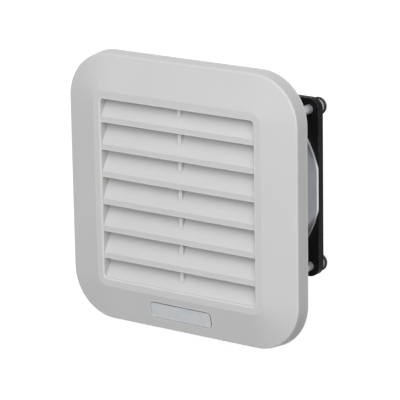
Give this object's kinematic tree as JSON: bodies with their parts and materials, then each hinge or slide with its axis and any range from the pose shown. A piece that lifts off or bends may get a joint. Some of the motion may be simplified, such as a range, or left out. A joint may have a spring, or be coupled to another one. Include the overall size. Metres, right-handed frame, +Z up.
{
  "type": "cabinet filter fan",
  "caption": "Square cabinet filter fan: louvred grey cover hinged on a panel frame, filter mat behind it, and a black axial fan with wire guard bolted to the back.",
  "frame": {"origin": "centre of the panel cut-out, on the panel's outer face, which the gasket rests on", "axes": "+X to the right as seen from the room, -Y out of the cabinet towards the room, +Z up"},
  "size_m": [0.18, 0.0889, 0.18],
  "materials": {
    "cover_plastic": "fine satin grain",
    "frame_plastic": "fine satin grain",
    "gasket_foam": "matte closed-cell foam",
    "filter_fleece": "matte fleece",
    "housing_black": "semi-gloss black coat",
    "impeller_black": "matte",
    "zinc_steel": "bright zinc",
    "guard_wire": "dark plated wire",
    "motor_steel": "satin",
    "bush_bronze": "sintered, dull",
    "winding_copper": "enamelled",
    "bobbin_nylon": "matte",
    "lead_sleeve": "satin",
    "terminal_black": "matte",
    "badge_silver": "satin foil",
    "label_foil": "silver foil"
  },
  "bodies": {
    "frame": {"base_frame": "frame_plastic", "panel_gasket": "gasket_foam", "filter_mat": "filter_fleece", "fan_housing": "housing_black", "bearing_tube": "motor_steel", "front_bush": "bush_bronze", "rear_bush": "bush_bronze", "stator_core": "motor_steel", "coil_bobbins": "bobbin_nylon", "stator_coils": "winding_copper", "shading_rings": "winding_copper", "motor_leads": "lead_sleeve", "terminal_block": "terminal_black", "terminal_blades": "zinc_steel", "bearing_cap": "terminal_black", "spacer_sleeves": "zinc_steel", "guard_collars": "zinc_steel", "finger_guard": "guard_wire", "screw_washers": "zinc_steel", "fan_screws": "zinc_steel"},
    "cover": {"front_cover": "cover_plastic"},
    "rotor": {"impeller": "impeller_black", "rotor_cup": "motor_steel", "rotor_ring": "motor_steel", "shaft": "zinc_steel", "thrust_washers": "bobbin_nylon", "retaining_clip": "motor_steel"}
  },
  "joints": [
    {"name": "cover_hinge", "type": "hinge", "parent": "frame", "child": "cover", "pos_m": [0, -0.0025, -0.08835], "axis": [1, 0, 0], "range_deg": [0, 90]},
    {"name": "fan_spin", "type": "hinge", "parent": "frame", "child": "rotor", "pos_m": [0, 0.044, 0], "axis": [0, 1, 0], "continuous": true}
  ]
}
